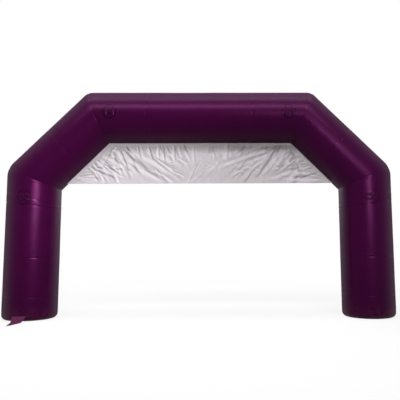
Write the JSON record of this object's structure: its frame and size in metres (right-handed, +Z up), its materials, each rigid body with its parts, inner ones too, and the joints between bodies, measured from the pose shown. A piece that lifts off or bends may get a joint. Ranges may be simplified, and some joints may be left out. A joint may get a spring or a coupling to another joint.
{
  "type": "inflatable finish line arch",
  "caption": "Free-standing inflatable gateway of coated fabric tube with sloping corners, a cloth banner, guy rings, ground tabs and air valves.",
  "frame": {"origin": "on the ground, midway between the two feet and midway through the arch's depth", "axes": "+Z up, +X along the span towards the right leg as seen from the front, front faces -Y"},
  "size_m": [8.0024, 2.0364, 4.7012],
  "materials": {
    "skin": "semi-gloss coated tarpaulin",
    "trim": "semi-gloss coated tarpaulin",
    "webbing": "woven polyester webbing",
    "steel": "polished stainless steel",
    "banner_cloth": "satin polyester cloth",
    "grip": "hook and loop tape",
    "valve_plastic": "moulded nylon",
    "seal": "moulded rubber"
  },
  "bodies": {
    "arch": {"banner": "banner_cloth", "beam_centre": "skin", "beam_grip_strip": "grip", "inflation_valve_body": "valve_plastic", "inflation_valve_nut": "valve_plastic", "inflation_valve_spring": "steel", "left_back_tab_strip": "trim", "left_beam_back_patch": "trim", "left_beam_back_webbing": "webbing", "left_beam_end": "skin", "left_beam_front_patch": "trim", "left_beam_front_webbing": "webbing", "left_diagonal_grip_strip": "grip", "left_diagonal_lower": "skin", "left_diagonal_upper": "skin", "left_foot_boot": "skin", "left_front_tab_strip": "trim", "left_leg_back_patch": "trim", "left_leg_back_webbing": "webbing", "left_leg_front_patch": "trim", "left_leg_front_webbing": "webbing", "left_leg_lower": "skin", "left_leg_upper": "skin", "left_shoulder": "skin", "relief_valve_body": "valve_plastic", "relief_valve_spring": "steel", "right_back_tab_strip": "trim", "right_beam_back_patch": "trim", "right_beam_back_webbing": "webbing", "right_beam_end": "skin", "right_beam_front_patch": "trim", "right_beam_front_webbing": "webbing", "right_diagonal_grip_strip": "grip", "right_diagonal_lower": "skin", "right_diagonal_upper": "skin", "right_foot_boot": "skin", "right_leg_back_patch": "trim", "right_leg_back_webbing": "webbing", "right_leg_front_patch": "trim", "right_leg_front_webbing": "webbing", "right_leg_lower": "skin", "right_leg_upper": "skin", "right_shoulder": "skin"},
    "left_leg_front_ring": {"left_leg_front_d_ring": "steel"},
    "left_leg_back_ring": {"left_leg_back_d_ring": "steel"},
    "left_beam_front_ring": {"left_beam_front_d_ring": "steel"},
    "left_beam_back_ring": {"left_beam_back_d_ring": "steel"},
    "right_leg_front_ring": {"right_leg_front_d_ring": "steel"},
    "right_leg_back_ring": {"right_leg_back_d_ring": "steel"},
    "right_beam_front_ring": {"right_beam_front_d_ring": "steel"},
    "right_beam_back_ring": {"right_beam_back_d_ring": "steel"},
    "left_front_tab": {"left_front_ground_tab": "trim", "left_front_tab_eyelet": "steel"},
    "left_back_tab": {"left_back_ground_tab": "trim", "left_back_tab_eyelet": "steel"},
    "right_back_tab": {"right_back_ground_tab": "trim", "right_back_tab_eyelet": "steel"},
    "inflation_stem": {"inflation_valve_stem": "seal"},
    "inflation_cap": {"inflation_valve_cap": "valve_plastic"},
    "relief_poppet": {"relief_valve_poppet": "seal"}
  },
  "joints": [
    {"name": "left_leg_front_ring_swing", "type": "hinge", "parent": "arch", "child": "left_leg_front_ring", "pos_m": [-3.465, -0.5447, 2.406], "axis": [-1, 0, 0], "range_deg": [0, 170]},
    {"name": "left_leg_back_ring_swing", "type": "hinge", "parent": "arch", "child": "left_leg_back_ring", "pos_m": [-3.465, 0.5447, 2.406], "axis": [1, 0, 0], "range_deg": [0, 170]},
    {"name": "left_beam_front_ring_swing", "type": "hinge", "parent": "arch", "child": "left_beam_front_ring", "pos_m": [-1.82, -0.5435, 4.151], "axis": [-1, 0, 0], "range_deg": [0, 170]},
    {"name": "left_beam_back_ring_swing", "type": "hinge", "parent": "arch", "child": "left_beam_back_ring", "pos_m": [-1.82, 0.5435, 4.151], "axis": [1, 0, 0], "range_deg": [0, 170]},
    {"name": "right_leg_front_ring_swing", "type": "hinge", "parent": "arch", "child": "right_leg_front_ring", "pos_m": [3.465, -0.5447, 2.406], "axis": [-1, 0, 0], "range_deg": [0, 170]},
    {"name": "right_leg_back_ring_swing", "type": "hinge", "parent": "arch", "child": "right_leg_back_ring", "pos_m": [3.465, 0.5447, 2.406], "axis": [1, 0, 0], "range_deg": [0, 170]},
    {"name": "right_beam_front_ring_swing", "type": "hinge", "parent": "arch", "child": "right_beam_front_ring", "pos_m": [1.82, -0.5435, 4.151], "axis": [-1, 0, 0], "range_deg": [0, 170]},
    {"name": "right_beam_back_ring_swing", "type": "hinge", "parent": "arch", "child": "right_beam_back_ring", "pos_m": [1.82, 0.5435, 4.151], "axis": [1, 0, 0], "range_deg": [0, 170]},
    {"name": "left_front_tab_fold", "type": "hinge", "parent": "arch", "child": "left_front_tab", "pos_m": [-3.465, -0.5362, 0.105], "axis": [-1, 0, 0], "range_deg": [0, 90]},
    {"name": "left_back_tab_fold", "type": "hinge", "parent": "arch", "child": "left_back_tab", "pos_m": [-3.465, 0.5362, 0.105], "axis": [1, 0, 0], "range_deg": [0, 90]},
    {"name": "right_back_tab_fold", "type": "hinge", "parent": "arch", "child": "right_back_tab", "pos_m": [3.465, 0.5362, 0.105], "axis": [1, 0, 0], "range_deg": [0, 90]},
    {"name": "inflation_stem_press", "type": "slide", "parent": "arch", "child": "inflation_stem", "axis": [0, -1, 0], "range_m": [0, 0.008], "stiffness_N_per_m": 300, "springref_m": -0.005, "deforming": ["inflation_valve_spring"]},
    {"name": "inflation_cap_flip", "type": "hinge", "parent": "arch", "child": "inflation_cap", "pos_m": [-3.465, 0.5486, 0.836], "axis": [1, 0, 0], "range_deg": [0, 165]},
    {"name": "relief_poppet_lift", "type": "slide", "parent": "arch", "child": "relief_poppet", "axis": [0, 1, 0], "range_m": [0, 0.005], "stiffness_N_per_m": 500, "springref_m": -0.005, "deforming": ["relief_valve_spring"]}
  ]
}
